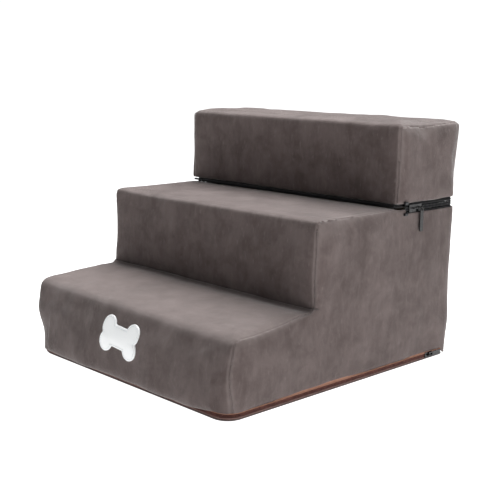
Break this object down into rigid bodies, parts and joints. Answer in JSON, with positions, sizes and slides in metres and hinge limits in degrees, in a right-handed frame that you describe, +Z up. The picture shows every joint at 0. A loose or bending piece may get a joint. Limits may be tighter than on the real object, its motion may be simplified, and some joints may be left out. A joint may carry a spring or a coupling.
{
  "type": "pet stairs",
  "caption": "Soft foam pet stairs in a suede cover, with a top step that unzips and folds forward, and a zipped base cloth.",
  "frame": {"origin": "middle of the base cloth's underside, where the stairs stand on the floor", "axes": "+Z up; the stairs climb towards +Y, so their front is -Y; +X is the side with both zip sliders"},
  "size_m": [0.3771, 0.3737, 0.3],
  "materials": {
    "suede": "matte",
    "foam": "matte",
    "lining": "matte",
    "base_cloth": "matte",
    "black_tape": "matte",
    "black_coil": "satin",
    "rust_tape": "matte",
    "rust_coil": "satin",
    "white_patch": "satin",
    "gunmetal": "polished"
  },
  "bodies": {
    "lower_steps": {"bottom_foam": "foam", "middle_foam": "foam", "lower_cover": "suede", "lower_side_left": "suede", "lower_side_right": "suede", "lower_back": "suede", "lower_lining": "lining", "fold_hinge_tape": "black_tape", "bone_patch": "white_patch", "upper_zip_tape_bottom": "black_tape", "upper_zip_coil_bottom": "black_coil", "base_zip_tape_top": "rust_tape", "base_zip_coil_top": "rust_coil"},
    "upper_step": {"upper_foam": "foam", "upper_cover": "suede", "upper_side_left": "suede", "upper_side_right": "suede", "upper_lining": "lining", "upper_zip_tape_top": "black_tape", "upper_zip_coil_top": "black_coil"},
    "base_panel": {"base_cloth": "base_cloth", "base_zip_tape_bottom": "rust_tape", "base_zip_coil_bottom": "rust_coil"},
    "top_zip_slider": {"top_slider": "gunmetal", "top_slider_bridge": "gunmetal"},
    "top_zip_pull": {"top_pull_ring": "gunmetal", "top_pull_tab": "gunmetal"},
    "base_zip_slider": {"base_slider": "gunmetal", "base_slider_bridge": "gunmetal"},
    "base_zip_pull": {"base_pull_tab": "gunmetal"}
  },
  "joints": [
    {"name": "upper_step_fold", "type": "hinge", "parent": "lower_steps", "child": "upper_step", "pos_m": [0, 0.0735, 0.2008], "axis": [1, 0, 0], "range_deg": [0, 90]},
    {"name": "top_zip_slide", "type": "slide", "parent": "lower_steps", "child": "top_zip_slider", "axis": [0, 1, 0], "range_m": [0, 0.052]},
    {"name": "top_pull_swing", "type": "hinge", "parent": "top_zip_slider", "child": "top_zip_pull", "pos_m": [0.1895, 0.1165, 0.1973], "axis": [0, -1, 0], "range_deg": [0, 170]},
    {"name": "base_zip_slide", "type": "slide", "parent": "lower_steps", "child": "base_zip_slider", "axis": [0, -1, 0], "range_m": [0, 0.3]},
    {"name": "base_pull_swing", "type": "hinge", "parent": "base_zip_slider", "child": "base_zip_pull", "pos_m": [0.1873, 0.148, 0.0061], "axis": [0, 0, -1], "range_deg": [0, 170]},
    {"name": "base_panel_open", "type": "hinge", "parent": "lower_steps", "child": "base_panel", "pos_m": [0, 0.1857, 0.00255], "axis": [1, 0, 0], "range_deg": [0, 90]}
  ]
}
